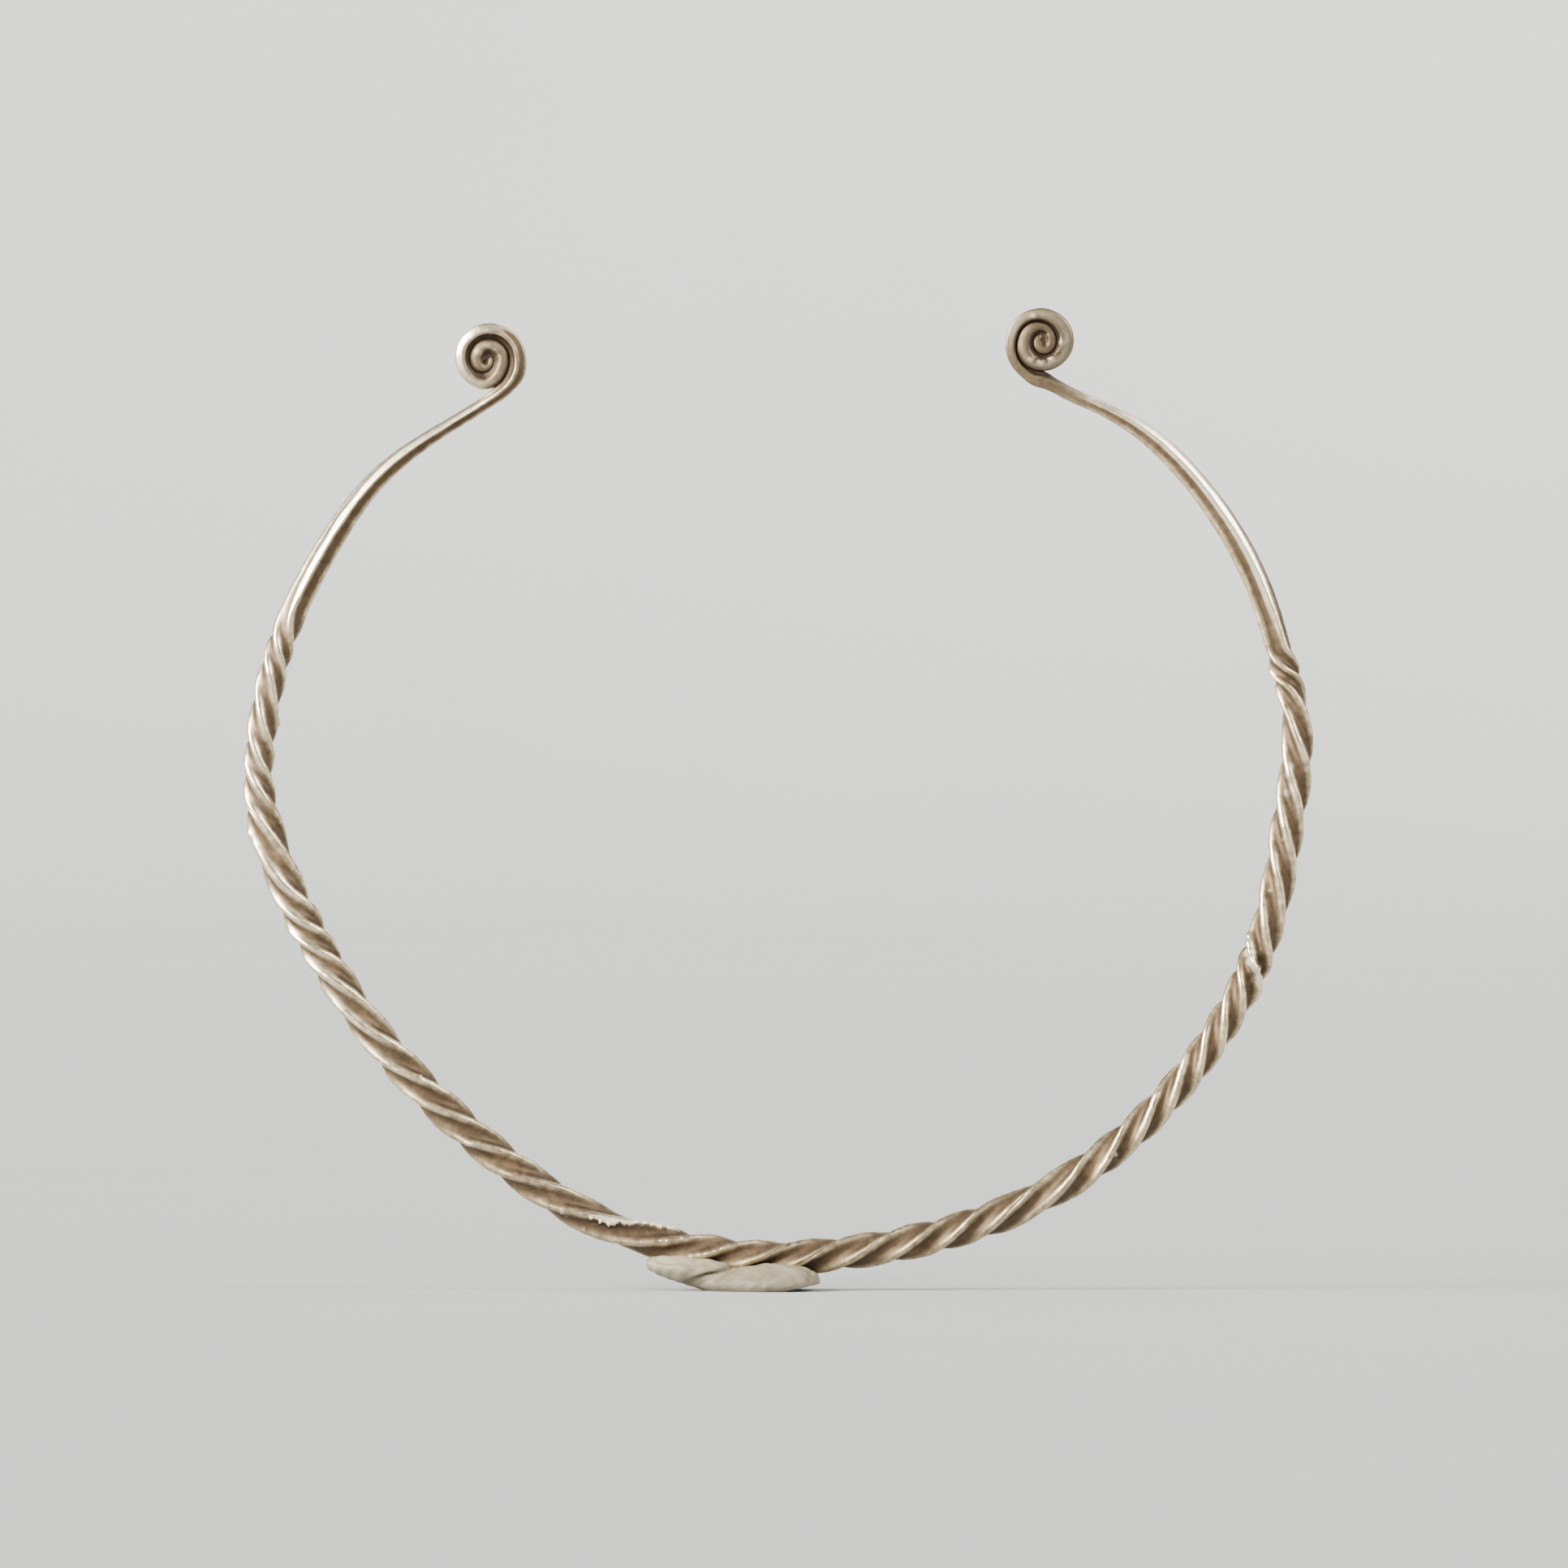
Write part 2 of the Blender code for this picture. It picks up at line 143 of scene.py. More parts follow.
# Stretches of the bar as (fades in from, full from, full to, faded out at), in mm along it.
LEFT_ARM = (0.0, 6.0, 40.0, 47.0)
RIGHT_ARM = (306.0, 316.0, BAR_LENGTH - 8.0, BAR_LENGTH)
LEFT_COIL_FOOT = (-11.0, -7.5, 2.0, 6.0)
LEFT_OUTER_TURN = (-27.0, -20.0, -14.0, -8.0)
# the left coil's turn that gets a painted highlight
LEFT_SHEEN_TURN = (-24.0, -18.0, -14.0, -7.0)
RIGHT_OUTER_TURN = (361.0, 367.0, 381.0, 388.0)
LEFT_TWIST = (42.0, 50.0, 92.0, 128.0)
RIGHT_TWIST = (195.0, 235.0, 302.0, 322.0)
LOWER_RING = (88.0, 122.0, 200.0, 232.0)


# ------------------------------------------------------------------ curves and noise


def curve_through(points, count):
    """Even points on the natural cubic curve through the given points."""
    knots = np.array(points, dtype=float)
    spans = np.linalg.norm(np.diff(knots, axis=0), axis=1)
    places = np.concatenate([[0.0], np.cumsum(spans)])
    system = np.eye(len(knots))
    right_side = np.zeros_like(knots)
    for i in range(1, len(knots) - 1):
        before = spans[i - 1]
        after = spans[i]
        system[i, i - 1:i + 2] = (before, 2.0 * (before + after), after)
        rise = (knots[i + 1] - knots[i]) / after
        fall = (knots[i] - knots[i - 1]) / before
        right_side[i] = 6.0 * (rise - fall)
    bends = np.linalg.solve(system, right_side)
    at = np.linspace(0.0, places[-1], count)
    piece = np.clip(np.searchsorted(places, at) - 1, 0, len(spans) - 1)
    span = spans[piece][:, None]
    far = (places[piece + 1] - at)[:, None]
    near = (at - places[piece])[:, None]
    start = knots[piece] / span - bends[piece] * span / 6.0
    end = knots[piece + 1] / span - bends[piece + 1] * span / 6.0
    cubic = (bends[piece] * far ** 3 + bends[piece + 1] * near ** 3) / (6.0 * span)
    return cubic + start * far + end * near


def eased(marks, at, column=1):
    """Value between marks, with no overshoot: a monotone cubic through them."""
    table = np.array(marks, dtype=float)
    places = table[:, 0]
    values = table[:, column]
    spans = np.diff(places)
    slopes = np.diff(values) / spans
    tangents = np.zeros_like(values)
    for i in range(1, len(values) - 1):
        if slopes[i - 1] * slopes[i] > 0.0:
            first = 2.0 * spans[i] + spans[i - 1]
            second = spans[i] + 2.0 * spans[i - 1]
            tangents[i] = (first + second) / (first / slopes[i - 1] + second / slopes[i])
    at = np.clip(at, places[0], places[-1])
    piece = np.clip(np.searchsorted(places, at) - 1, 0, len(spans) - 1)
    span = spans[piece]
    t = (at - places[piece]) / span
    rise = (3.0 - 2.0 * t) * t * t
    leave = t * (1.0 - t) ** 2 * span * tangents[piece]
    arrive = t * t * (1.0 - t) * span * tangents[piece + 1]
    return values[piece] * (1.0 - rise) + values[piece + 1] * rise + leave - arrive


def distance_along(points):
    return np.concatenate([[0.0], np.cumsum(np.linalg.norm(np.diff(points, axis=0), axis=1))])


def smooth_step(low, high, value):
    t = np.clip((value - low) / (high - low), 0.0, 1.0)
    return t * t * (3.0 - 2.0 * t)


def within(stretch, at):
    """1 within a stretch of the bar, 0 beyond it, and smooth between."""
    fade_in, start, end, fade_out = stretch
    return smooth_step(fade_in, start, at) * smooth_step(fade_out, end, at)


def signed_angle(degrees):
    """The same angle between -180 and 180 degrees."""
    return (degrees + 180.0) % 360.0 - 180.0


def wander(at, spacing, seed):
    """Smooth random values from -1 to 1 along a line, one knot every spacing."""
    place = at / spacing
    cell = np.floor(place).astype(int)
    cell -= cell.min()
    knots = np.random.RandomState(seed).uniform(-1.0, 1.0, cell.max() + 2)
    t = place - np.floor(place)
    t = t * t * (3.0 - 2.0 * t)
    return knots[cell] * (1.0 - t) + knots[cell + 1] * t


def wander_round(along, turn, spacing, cells, seed):
    """Smooth random values over the bar's skin: one knot every spacing, and cells of them round."""
    place = along / spacing
    row = np.floor(place).astype(int)
    row -= row.min()
    knots = np.random.RandomState(seed).uniform(-1.0, 1.0, (row.max() + 2, cells))
    t = place - np.floor(place)
    t = t * t * (3.0 - 2.0 * t)
    round_place = (turn / 360.0 * cells) % cells
    column = np.floor(round_place).astype(int) % cells
    u = round_place - np.floor(round_place)
    u = u * u * (3.0 - 2.0 * u)
    after = (column + 1) % cells
    near = knots[row, column] * (1.0 - u) + knots[row, after] * u
    far = knots[row + 1, column] * (1.0 - u) + knots[row + 1, after] * u
    return near * (1.0 - t) + far * t


# ------------------------------------------------------------------ the course of the bar


def coil_guide(eye, turns, reach, first_angle, sense):
    """Points of one coil from its foot to its tip, with the wire's ridge radius at each."""
    start = turns[0][0]
    end = turns[-1][0]
    angles = np.linspace(start, end, int((end - start) / COIL_GUIDE_STEP) + 1)
    radii = eased(turns, angles)
    around = np.radians(first_angle + sense * angles)
    x = eye[0] + radii * np.cos(around)
    z = eye[1] + radii * np.sin(around)
    half_width = eased(turns, angles, column=2) - SKIN_ALLOWANCE
    return np.stack([x, z], axis=1), half_width / reach


def bar_course():
    """The whole bar, tip to tip: points, distance from the left coil's foot, and radius."""
    left, left_radius = coil_guide(LEFT_EYE, LEFT_TURNS, LEFT_COIL_REACH, 0.0, 1.0)
    right, right_radius = coil_guide(RIGHT_EYE, RIGHT_TURNS, RIGHT_COIL_REACH, 180.0, -1.0)
    guide = np.concatenate([left[::-1], np.array(BAR_ROUTE), right])
    fine = curve_through(guide, COURSE_SAMPLES)
    along = distance_along(fine)
    foot = np.argmin(np.linalg.norm(fine - np.array(BAR_ROUTE[0]), axis=1))
    along -= along[foot]
    left_marks = distance_along(left) + np.linalg.norm(left[0] - np.array(BAR_ROUTE[0]))
    right_marks = distance_along(right) + np.linalg.norm(right[0] - np.array(BAR_ROUTE[-1]))
    radius_marks = list(zip(-left_marks[::-1], left_radius[::-1]))
    radius_marks += list(BAR_RADIUS)
    radius_marks += list(zip(BAR_LENGTH + right_marks, right_radius))
    return fine, along, eased(radius_marks, along)


COURSE, ALONG, RADIUS = bar_course()
HEADING = np.gradient(COURSE, ALONG, axis=0)
HEADING /= np.linalg.norm(HEADING, axis=1)[:, None]
TURNED = np.unwrap(np.arctan2(HEADING[:, 1], HEADING[:, 0]))
BEND = np.convolve(np.gradient(TURNED, ALONG), np.ones(BEND_WINDOW) / BEND_WINDOW, "same")


def on_course(values, at):
    return np.interp(at, ALONG, values)


# ------------------------------------------------------------------ wear, damage, and painted light and shade

# Lumps, beads and dents on the front as (distance, offset outwards, height, spread), in mm.
LUMPS = (
    # left twist and the bottom of the ring
    (59.8, -2.25, 0.42, 0.24), (60.3, -2.25, 0.22, 0.2), (64.6, -2.3, 0.16, 0.3),
    (73.9, -1.85, 0.22, 0.26), (75.0, -2.2, 0.22, 0.24), (75.4, 2.6, 0.26, 0.5),
    (117.0, -1.05, 0.16, 0.22), (128.3, 1.35, 0.15, 0.34), (128.9, 0.85, 0.2, 0.36),
    (129.5, 0.3, 0.17, 0.32), (130.3, -0.1, 0.13, 0.26), (131.0, -0.45, 0.12, 0.24),
    (131.7, -0.75, 0.11, 0.24), (132.4, -0.95, 0.1, 0.22), (144.6, 1.2, 0.16, 0.24),
    (145.4, 1.4, 0.1, 0.2), (148.4, 1.8, 0.12, 0.22),
    # right of the putty
    (225.9, 0.75, 0.24, 0.28), (225.1, 0.3, -0.14, 0.4), (226.8, 0.9, -0.14, 0.42),
    (226.0, 1.5, -0.14, 0.34),
    # the cluster on the right
    (262.7, -2.2, 0.2, 0.34), (261.6, -1.9, 0.34, 0.44), (260.5, -1.1, 0.5, 0.54),
    (259.3, -0.4, 0.44, 0.5), (258.7, 0.5, 0.46, 0.46), (257.7, 1.3, 0.34, 0.4),
    (256.8, 1.7, 0.46, 0.46), (256.0, 2.4, 0.3, 0.34), (255.1, 2.3, 0.22, 0.32),
    (254.3, 2.0, 0.14, 0.28), (260.0, 0.6, -0.2, 0.5), (258.9, 1.7, -0.22, 0.44),
    (257.3, 0.3, -0.18, 0.4), (256.3, 1.2, -0.2, 0.36), (261.5, -0.5, -0.14, 0.34),
    (259.9, 2.0, 0.2, 0.28), (255.4, 1.5, -0.16, 0.36), (257.7, 2.5, -0.16, 0.28),
    # right twist and arm
    (269.8, -0.9, 0.14, 0.26), (277.2, -0.4, 0.12, 0.26), (283.8, -0.8, 0.1, 0.6),
    (286.4, -0.9, 0.14, 0.6), (287.6, -0.8, 0.12, 0.5), (301.8, -2.05, 0.24, 0.26),
    (309.0, -1.95, 0.2, 0.28),
    # right coil
    (377.2, 0.4, 0.12, 0.5), (380.3, 0.2, 0.15, 0.42), (382.1, 0.0, 0.17, 0.36),
    (383.6, 0.0, 0.15, 0.34), (370.3, 0.1, 0.13, 0.34), (378.8, 0.35, -0.14, 0.36),
    (381.2, 0.25, -0.15, 0.3), (382.9, 0.35, -0.13, 0.26), (375.3, -0.1, -0.08, 0.45),
    # left coil
    (-32.1, 0.0, 0.1, 0.55), (-30.1, 0.0, 0.1, 0.4), (-11.1, 0.2, 0.09, 0.5),
    (-28.3, 0.1, -0.1, 0.4), (-22.0, 0.0, 0.07, 0.6),
)
# A lump ends at this many times its spread, and is fully bright at this height.
LUMP_REACH = 3.5
LUMP_FULL = 0.32
# Stretch of one ridge that is torn into a ragged shelf, as (start, end, ridge). The shelf hangs
# over the flute by some degrees, and a soft shadow is painted under it.
TORN_RIDGE = (148.2, 161.4, 0)
TORN_HANG = 31.0
TORN_SHADOW = 0.45
# How far out the shelf hangs: its usual share, the least and most, and rags on it as
# (share, spacing in mm, seed).
TORN_SHARE = 0.62
TORN_LIMITS = (0.12, 1.25)
TORN_RAGS = ((0.34, 0.66, 19), (0.22, 0.34, 21))
SHELF_REACH = 1.03
# Rows of beads as (start, end, ridge, degrees aside at the start of the row).
BEADED_RIDGES = ((162.6, 170.0, 2, -13.0), (159.0, 161.6, 1, -4.0))
BEAD_SEED = 23
BEAD_SPREAD = 0.20
# Least and most of each bead's height and distance to the next in mm, and degrees off its row.
BEAD_HEIGHTS = (0.04, 0.16)
BEAD_GAPS = (0.45, 1.25)
BEAD_STRAY = (-3.0, 3.0)
# Stretches where the ridges at the front are split along their tops.
SPLIT_RIDGES = ((72.0, 75.0), (178.0, 182.2), (185.3, 187.5), (206.5, 212.0))
SPLIT_DEPTH = 0.055
SPLIT_WIDTH = 3.6
# The painted shade line in a split: its width in degrees and its strength.
SPLIT_LINE = (4.0, 0.4)
# Rust-coloured stains as (distance, offset outwards, half length, half width), in mm.
RUST_SPOTS = (
    (46.6, 0.4, 2.2, 0.8), (79.3, -0.3, 1.6, 0.8), (97.2, -0.2, 1.3, 0.8), (105.2, -0.5, 2.0, 1.0),
    (135.2, -0.3, 3.4, 0.9), (143.5, 0.3, 2.4, 0.8), (165.2, -1.2, 3.6, 0.8),
    (171.4, -0.5, 2.6, 0.8), (190.0, -1.1, 1.4, 0.7), (195.7, 1.7, 2.0, 0.8),
    (222.4, 0.2, 2.2, 0.8), (246.5, 0.4, 2.4, 0.8), (270.7, -0.9, 1.6, 0.9), (277.2, 1.4, 2.4, 0.8),
)
# Where the turns of a coil meet, a seam deep in the cleft joins them: (distance, reach in mm).
SEAM_REACH = (
    (-37, 0.62), (-34, 0.55), (-31, 0.26), (-26, 0.24), (-23, 0.62), (-20, 0.32), (-6, 0.30),
    (-2, 0.50), (1, 0.30), (4, 0.0), (355, 0.0), (358, 0.55), (361, 0.26), (391, 0.24),
    (394, 0.55), (398, 0.62),
)
SEAM_SPREAD = 22.0
# The first turn of a coil ends between these angles in radians. Further in, turns lie on both sides.
FIRST_TURN_ENDS = (5.2, 6.4)
# A dark flat ball in the eye of each coil, in the painted cleft shade: radius and half depth in mm.
LEFT_PLUG = 1.30
RIGHT_PLUG = 2.00
PLUG_DEPTH = 0.22
# Painted shade in each arm's groove, away from the light: (degrees round the bar, strength), and its
# width in degrees.
LEFT_GROOVE = (31.0, 0.50)
RIGHT_GROOVE = (13.0, 0.18)
GROOVE_WIDTH = 14.0
# How strongly a highlight is painted on the front: in the left coil, along the crown of both outer
# turns, and on the ridges of the left twist where they face the light. The crown lies a share of the
# radius away from the eye, and its painted highlight is stronger in the right coil than in the left
# one.
LEFT_COIL_SHEEN = 0.8
CROWN_SHEEN = 0.26
CROWN_PLACE = 0.2
CROWN_WIDTH = 0.4
RIGHT_CROWN_SHARE = 1.1
LEFT_TWIST_SHEEN = 0.55
# Share by which the ridges of the lower ring are made duller, and dirt in the flutes of the right
# twist.
LOWER_RING_DULLING = 0.34
RIGHT_TWIST_DIRT = 0.8
# Heights in mm between which the bar is painted darker towards its foot, as painted shade on the less
# lit bottom.
LOW_SHADE_HEIGHTS = (34.0, 10.0)
# How brown each coil is.
LEFT_COIL_BROWN = 0.40
RIGHT_COIL_BROWN = 0.95
# Half width in degrees of a ridge's bright band, how sharply the band ends, and place and
# width of the line of painted shade at the foot of its flanks.
BRIGHT_BAND = 18.0
BAND_SHARPNESS = 2.4
RIDGE_FOOT_SHADE = (29.0, 7.0)
# Wear of the plain bar, where no ridge stands out.
PLAIN_WEAR = 0.35


def torn_fringe(along, ridge, from_ridge):
    """Ragged shelf on the outer side of the torn ridge: 1 on the shelf, below 0 in its shadow."""
    start, end, torn = TORN_RIDGE
    fringe = np.zeros_like(along)
    mine = (ridge == torn) & (along > start - 2.0) & (along < end + 2.0)
    at = along[mine]
    aside = from_ridge[mine]
    rags = sum(size * wander(at, spacing, seed) for size, spacing, seed in TORN_RAGS)
    hang = TORN_HANG * np.clip(TORN_SHARE + rags, *TORN_LIMITS)
    window = smooth_step(start - 0.4, start + 0.4, at) * smooth_step(end + 0.8, end - 1.5, at)
    shelf = smooth_step(-8.0, 3.0, aside) * smooth_step(hang + 4.0, hang - 3.0, aside)
    shadow = smooth_step(hang - 2.0, hang + 5.0, aside) * smooth_step(hang + 22.0, hang + 8.0, aside)
    fringe[mine] = window * (shelf - TORN_SHADOW * shadow)
    return fringe


def split_tops(along, facing):
    """1 where the ridges at the front are split along their tops."""
    split = np.zeros_like(along)
    for start, end in SPLIT_RIDGES:
        split += within((start - 0.5, start + 0.5, end - 0.5, end + 0.5), along)
    return split * smooth_step(0.2, 0.6, facing)


def ridge_offset(place, ridge, aside):
    """How far outwards a spot beside a ridge is at a distance along the bar."""
    at = np.array([float(place)])
    angle = math.radians(360.0 * eased(TWIST_TURNS, at)[0] - ridge * QUARTER - aside)
    return -on_course(RADIUS, place) * math.sin(angle)


def ridge_beads():
    """Rows of small beads along ridges, as lumps."""
    luck = np.random.RandomState(BEAD_SEED)
    for start, end, ridge, aside in BEADED_RIDGES:
        place = start
        while place < end:
            lean = aside * (end - place) / (end - start) + luck.uniform(*BEAD_STRAY)
            offset = ridge_offset(place, ridge, lean)
            yield place, offset, luck.uniform(*BEAD_HEIGHTS), BEAD_SPREAD
            place += luck.uniform(*BEAD_GAPS)


def rust_patches(along, offset, facing):
    """Strength of the rust-coloured stains on the front."""
    rust = np.zeros_like(along)
    for place, side, half_length, half_width in RUST_SPOTS:
        gap = ((along - place) / half_length) ** 2 + ((offset - side) / half_width) ** 2
        rust = np.maximum(rust, np.exp(-gap))
    return rust * smooth_step(-0.2, 0.2, facing)


def lump_height(along, offset, facing):
    """Height of all lumps, beads and dents on the front side of the bar."""
    height = np.zeros_like(along)
    for place, side, rise, spread in (*LUMPS, *ridge_beads()):
        near = np.abs(along - place) < LUMP_REACH * spread
        gap = (along[near] - place) ** 2 + (offset[near] - side) ** 2
        height[near] += rise * np.exp(-(gap / (1.7 * spread ** 2)) ** 1.4)
    return height * smooth_step(-0.35, 0.05, facing)


# ------------------------------------------------------------------ the silver bar


def ring_places():
    """Distances along the bar of all rings of its mesh, closer where it is twisted."""
    spacing = np.interp(ALONG, *np.array(RING_SPACING).T)
    count = np.concatenate([[0.0], np.cumsum(np.diff(ALONG) / spacing[1:])])
    inner = np.interp(np.linspace(0.0, count[-1], int(count[-1]) + 1), count, ALONG)
    tip = np.array(TIP_RINGS)
    return np.concatenate([ALONG[0] + tip, inner[1:-1], ALONG[-1] - tip[::-1]])


def side_angles():
    """Angles of the corners of one ring, closer together on the ridges."""
    t = np.arange(SIDES_PER_RIDGE) / SIDES_PER_RIDGE
    quarter = QUARTER * (t - SIDE_CROWDING * np.sin(2.0 * np.pi * t) / (2.0 * np.pi))
    angles = np.concatenate([quarter + i * QUARTER for i in range(RIDGES)])
    return np.append(angles, 360.0)


def is_left(along):
    return along < 0.5 * BAR_LENGTH


def arm_share(along):
    """1 on the two plain arms, 0 on the twist and in the coils."""
    return within(LEFT_ARM, along) + within(RIGHT_ARM, along)


def bar_sheen_and_shade(along, angle, crest):
    """1 where a highlight is painted on the front, below 0 where shade is painted in the groove of the
    arms.
    """
    inwards = np.sin(angle)
    # painted highlight on the outer side of the arms, which faces the light
    sheen = arm_share(along) * smooth_step(0.10, -0.15, inwards)
    sheen += LEFT_COIL_SHEEN * within(LEFT_SHEEN_TURN, along) * smooth_step(-0.5, 0.2, inwards)
    crown = np.exp(-((inwards - CROWN_PLACE) / CROWN_WIDTH) ** 2)
    outer_turn = within(LEFT_OUTER_TURN, along) + RIGHT_CROWN_SHARE * within(RIGHT_OUTER_TURN, along)
    sheen += CROWN_SHEEN * crown * outer_turn
    sheen += LEFT_TWIST_SHEEN * crest * within(LEFT_TWIST, along) * smooth_step(0.5, -0.2, inwards)
    # painted shade in the groove of the arms
    middle, strength = np.where(is_left(along), *np.array((LEFT_GROOVE, RIGHT_GROOVE))[:, :, None])
    groove = np.exp(-(signed_angle(np.degrees(angle) - middle) / GROOVE_WIDTH) ** 2) * strength
    groove *= np.maximum(arm_share(along), within(LEFT_COIL_FOOT, along))
    return np.minimum(sheen, 1.0) * smooth_step(-0.3, 0.3, np.cos(angle)) - groove


def facet_reach(along, angle):
    """How much of the arms' flat outer facet applies, and its share of the radius."""
    middle, half_width = np.where(is_left(along), *np.array(ARM_FACETS)[:, :, None])
    turned = signed_angle(np.degrees(angle) - middle)
    share = arm_share(along) * smooth_step(half_width + 6.0, half_width - 2.0, np.abs(turned))
    across = np.clip(turned, -half_width, half_width)
    return share, np.cos(np.radians(half_width)) / np.cos(np.radians(across))


def cleft_share(along, aside):
    """1 deep between the turns of a coil, where shade is painted: towards its eye, and outwards too on
    inner turns.
    """
    foot = np.where(is_left(along), 0.0, BAR_LENGTH)
    turned = np.abs(on_course(TURNED, along) - on_course(TURNED, foot))
    in_coil = smooth_step(1.0, -3.0, along) + smooth_step(BAR_LENGTH - 1.0, BAR_LENGTH + 3.0, along)
    inner_turn = smooth_step(*FIRST_TURN_ENDS, turned)
    towards_eye = smooth_step(0.12, 0.80, -aside)
    outwards = smooth_step(0.40, 0.88, aside) * inner_turn
    return in_coil * (towards_eye + outwards)


def ridge_wander(layers, ridge, along):
    """Uneven values along each ridge, taken at skin points on a ridge each."""
    uneven = np.zeros_like(along)
    for i in range(RIDGES):
        mine = ridge == i
        uneven[mine] = sum(size * wander(along, space, seed + i) for size, space, seed in layers)[mine]
    return uneven


def skin_noise(layer, along, turn):
    size, spacing, cells, seed = layer
    return size * wander_round(along, turn, spacing, cells, seed)


def bar_skin(along, turn):
    """Position in mm and finish of skin points at a distance along the bar and a section angle."""
    radius = on_course(RADIUS, along)
    tip = np.minimum(along - ALONG[0], ALONG[-1] - along)
    short_of_full = 1.0 - np.minimum(tip / TIP_LENGTH, 1.0)
    radius = radius * np.sqrt(np.clip(1.0 - short_of_full ** 2, 0.02, 1.0))
    roll = 360.0 * eased(TWIST_TURNS, along)
    angle = np.radians(roll - turn)
    facing = np.cos(angle)

    # the section: ridges and flutes, each a little uneven
    relief = eased(FLUTE_RELIEF, along)
    ridge = np.rint(turn / QUARTER).astype(int) % RIDGES
    from_ridge = signed_angle(turn - ridge * QUARTER)
    into_flute = np.abs(from_ridge) / (QUARTER / 2.0)
    from_crest = from_ridge - ridge_wander(RIDGE_DRIFT, ridge, along) * relief * (1.0 - into_flute)
    spread = RIDGE_SPREAD * (1.0 + ridge_wander(RIDGE_SWELL, ridge, along))
    crest = np.exp(-np.abs(from_crest / spread) ** RIDGE_BLUNTNESS)
    reach = FLUTE_FLOOR + (1.0 - FLUTE_FLOOR) * crest
    rise = ridge_wander(RIDGE_RISE, ridge, along) - CREST_SINK
    reach = 1.0 - relief * (1.0 - reach) + relief * rise * crest
    flattened, facet = facet_reach(along, angle)
    reach = reach * (1.0 - flattened) + np.minimum(reach, facet) * flattened
    reach += skin_noise(FLUTE_SWELL, along, turn) * (1.0 - crest)
    reach += skin_noise(FLUTE_GRAIN, along, turn) * (1.0 - 0.6 * crest)

    # damage and seams
    offset = -radius * reach * np.sin(angle)
    split = split_tops(along, facing)
    reach -= split * SPLIT_DEPTH * np.exp(-(from_crest / SPLIT_WIDTH) ** 2)
    lumps = lump_height(along, offset, facing)
    reach = reach + lumps / radius
    fringe = torn_fringe(along, ridge, from_ridge)
    reach += np.clip(fringe, 0.0, 1.0) * (SHELF_REACH - reach)
    from_eye_side = signed_angle(roll - turn + 90.0)
    seam = np.exp(-(from_eye_side / SEAM_SPREAD) ** 2)
    reach = reach + eased(SEAM_REACH, along) / radius * seam

    # the place in the ring
    head = np.stack([on_course(HEADING[:, 0], along), on_course(HEADING[:, 1], along)], axis=1)
    head /= np.linalg.norm(head, axis=1)[:, None]
    inward = np.stack([-head[:, 1], head[:, 0]], axis=1)
    out = radius * reach
    bend = on_course(BEND, along)
    aside = out * np.sin(angle)
    folds = aside * bend > FOLD_LIMIT
    aside = np.where(folds, FOLD_LIMIT / np.where(folds, bend, 1.0), aside)
    x = on_course(COURSE[:, 0], along) + aside * inward[:, 0]
    z = on_course(COURSE[:, 1], along) + aside * inward[:, 1]
    y = -out * facing * eased(SECTION_DEPTH, along)

    band = np.exp(-np.abs(from_crest / BRIGHT_BAND) ** BAND_SHARPNESS)
    lower_ring_factor = 1.0 - LOWER_RING_DULLING * within(LOWER_RING, along)
    dirt = RIGHT_TWIST_DIRT * within(RIGHT_TWIST, along) * (1.0 - crest)
    in_right_coil = smooth_step(BAR_LENGTH - 4.0, BAR_LENGTH + 4.0, along)
    line_width, line_strength = SPLIT_LINE
    split_line = split * np.exp(-(from_crest / line_width) ** 2) * line_strength
    # marks above 0 give the bright silver of beads, lumps and the torn shelf; below 0 painted shade in
    # dents, splits and under the shelf
    marks = lumps / LUMP_FULL + fringe - split_line
    shade_place, shade_width = RIDGE_FOOT_SHADE
    finish = {
        "ridge": band * relief * lower_ring_factor + PLAIN_WEAR * (1.0 - relief),
        # foot: painted shade in the crease at the foot of each ridge
        "foot": np.exp(-((np.abs(from_crest) - shade_place) / shade_width) ** 2) * relief,
        "coil": LEFT_COIL_BROWN * smooth_step(4.0, -4.0, along) + RIGHT_COIL_BROWN * in_right_coil,
        "cleft": cleft_share(along, np.sin(angle)),
        "lump": np.clip(marks, -1.0, 1.0),
        # above 0 a painted highlight, below 0 painted shade in the arms' groove
        "sheen_and_shade": bar_sheen_and_shade(along, angle, crest),
        "rust": rust_patches(along, offset, facing),
        # painted shade towards the foot of the ring, and dirt in the flutes of the right twist
        "shade_and_dirt": np.maximum(smooth_step(*LOW_SHADE_HEIGHTS, z), dirt),
    }
    straight = np.stack([
        radius * np.cos(np.radians(turn)), radius * np.sin(np.radians(turn)), along,
    ], axis=1)
    return np.stack([x, y, z], axis=1), finish, straight


def add_eye_plug(mesh, layers, eye, size):
    """A flat ball in the eye of a coil, coloured with the painted cleft shade, so that no light shows
    through.
    """
    plug = bmesh.ops.create_icosphere(mesh, subdivisions=4, radius=MM)["verts"]
    bmesh.ops.scale(mesh, vec=(size, PLUG_DEPTH, size), verts=plug)
    bmesh.ops.translate(mesh, vec=(eye[0] * MM, 0.0, eye[1] * MM), verts=plug)
    for corner in plug:
        corner[layers["coil"]] = 1.0
        # the plug takes the painted cleft shade
        corner[layers["cleft"]] = 1.0


